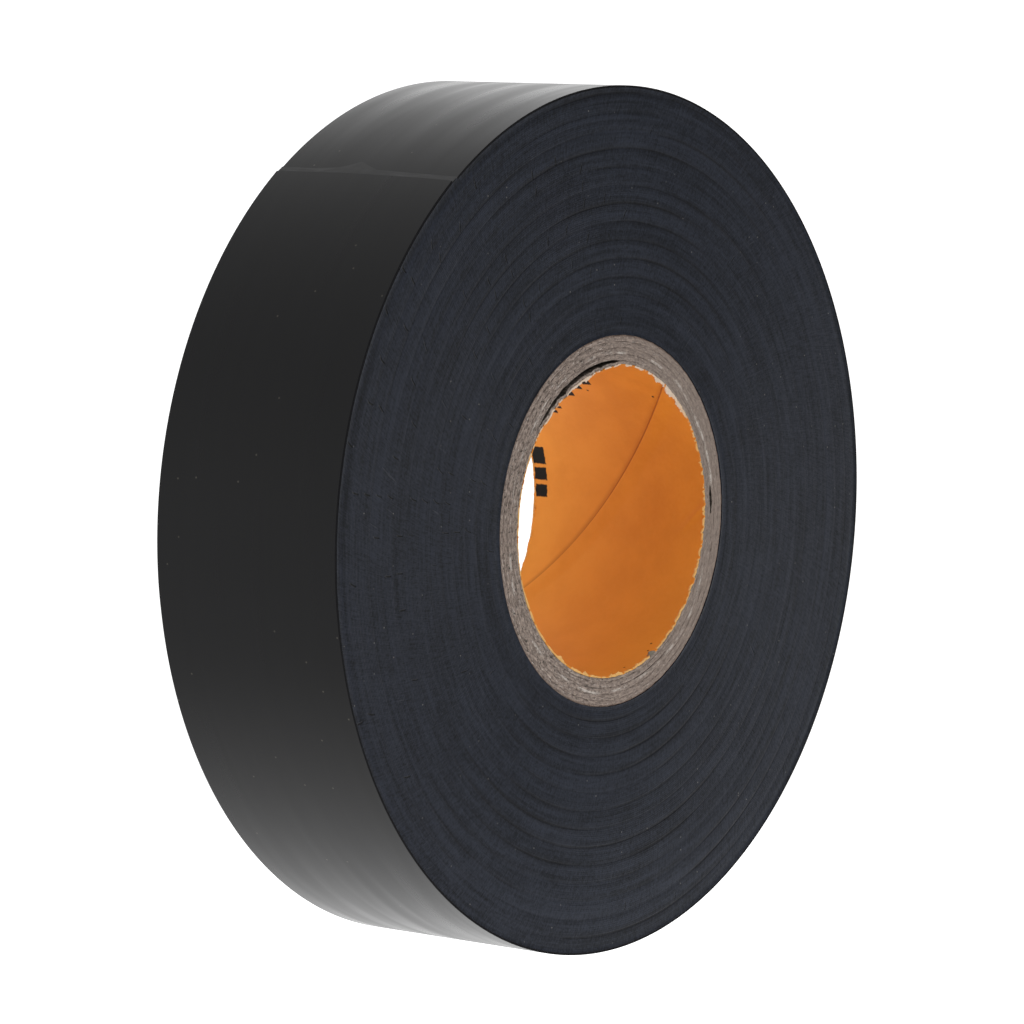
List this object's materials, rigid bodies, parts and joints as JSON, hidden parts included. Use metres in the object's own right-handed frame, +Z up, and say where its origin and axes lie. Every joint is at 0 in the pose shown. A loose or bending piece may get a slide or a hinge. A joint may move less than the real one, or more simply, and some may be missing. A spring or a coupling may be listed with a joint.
{
  "type": "electrical tape roll",
  "caption": "Roll of black PVC electrical tape on a spiral-wound cardboard core with an orange paper lining, and a free end that peels off the roll.",
  "frame": {"origin": "middle of the core's bore, on the roll's axis, half way between the two side faces", "axes": "+Y along the roll's axis to the back face, +Z up with the roll standing on its rim, +X to the right seen from the front face"},
  "size_m": [0.0748, 0.019, 0.0747],
  "materials": {
    "pvc_film": "satin black soft PVC with faint marks along the strip",
    "tape_edges": "slit edges of the wound strip, dull blue-black with fine rings",
    "adhesive": "tacky black rubber adhesive",
    "grey_board": "sawn edge of grey-brown chipboard",
    "lining_board": "thin board, torn at its edge",
    "liner_paper": "orange printed paper, slightly shiny"
  },
  "bodies": {
    "roll": {"core_liner": "liner_paper", "core_lining_ply": "lining_board", "core_board_1": "grey_board", "core_board_2": "grey_board", "core_board_3": "grey_board", "core_board_4": "grey_board", "wound_turns": "tape_edges", "outer_turn_film": "pvc_film", "outer_turn_adhesive": "adhesive"},
    "tail_1": {"tail_film_1": "pvc_film", "tail_adhesive_1": "adhesive"},
    "tail_2": {"tail_film_2": "pvc_film", "tail_adhesive_2": "adhesive"},
    "tail_3": {"tail_film_3": "pvc_film", "tail_adhesive_3": "adhesive"},
    "tail_4": {"tail_film_4": "pvc_film", "tail_adhesive_4": "adhesive"},
    "tail_5": {"tail_film_5": "pvc_film", "tail_adhesive_5": "adhesive"},
    "tail_6": {"tail_film_6": "pvc_film", "tail_adhesive_6": "adhesive"},
    "tail_7": {"tail_film_7": "pvc_film", "tail_adhesive_7": "adhesive"},
    "tail_8": {"tail_film_8": "pvc_film", "tail_adhesive_8": "adhesive"}
  },
  "joints": [
    {"name": "tail_lift", "type": "hinge", "parent": "roll", "child": "tail_1", "pos_m": [-0.03694, 0, -0.00614], "axis": [0, -1, 0], "range_deg": [0, 90]},
    {"name": "tail_bend_2", "type": "hinge", "parent": "tail_1", "child": "tail_2", "pos_m": [-0.03744, 0, -0.00094], "axis": [0, -1, 0], "range_deg": [0, 8]},
    {"name": "tail_bend_3", "type": "hinge", "parent": "tail_2", "child": "tail_3", "pos_m": [-0.03721, 0, 0.00427], "axis": [0, -1, 0], "range_deg": [0, 8]},
    {"name": "tail_bend_4", "type": "hinge", "parent": "tail_3", "child": "tail_4", "pos_m": [-0.03626, 0, 0.00941], "axis": [0, -1, 0], "range_deg": [0, 8]},
    {"name": "tail_bend_5", "type": "hinge", "parent": "tail_4", "child": "tail_5", "pos_m": [-0.0346, 0, 0.01436], "axis": [0, -1, 0], "range_deg": [0, 8]},
    {"name": "tail_bend_6", "type": "hinge", "parent": "tail_5", "child": "tail_6", "pos_m": [-0.03227, 0, 0.01903], "axis": [0, -1, 0], "range_deg": [0, 8]},
    {"name": "tail_bend_7", "type": "hinge", "parent": "tail_6", "child": "tail_7", "pos_m": [-0.02932, 0, 0.02334], "axis": [0, -1, 0], "range_deg": [0, 8]},
    {"name": "tail_bend_8", "type": "hinge", "parent": "tail_7", "child": "tail_8", "pos_m": [-0.02579, 0, 0.02719], "axis": [0, -1, 0], "range_deg": [0, 8]}
  ],
  "couplings": [
    {"joint": "tail_bend_2", "follows": "tail_lift", "ratio": 0.088889},
    {"joint": "tail_bend_3", "follows": "tail_lift", "ratio": 0.088889},
    {"joint": "tail_bend_4", "follows": "tail_lift", "ratio": 0.088889},
    {"joint": "tail_bend_5", "follows": "tail_lift", "ratio": 0.088889},
    {"joint": "tail_bend_6", "follows": "tail_lift", "ratio": 0.088889},
    {"joint": "tail_bend_7", "follows": "tail_lift", "ratio": 0.088889},
    {"joint": "tail_bend_8", "follows": "tail_lift", "ratio": 0.088889}
  ]
}
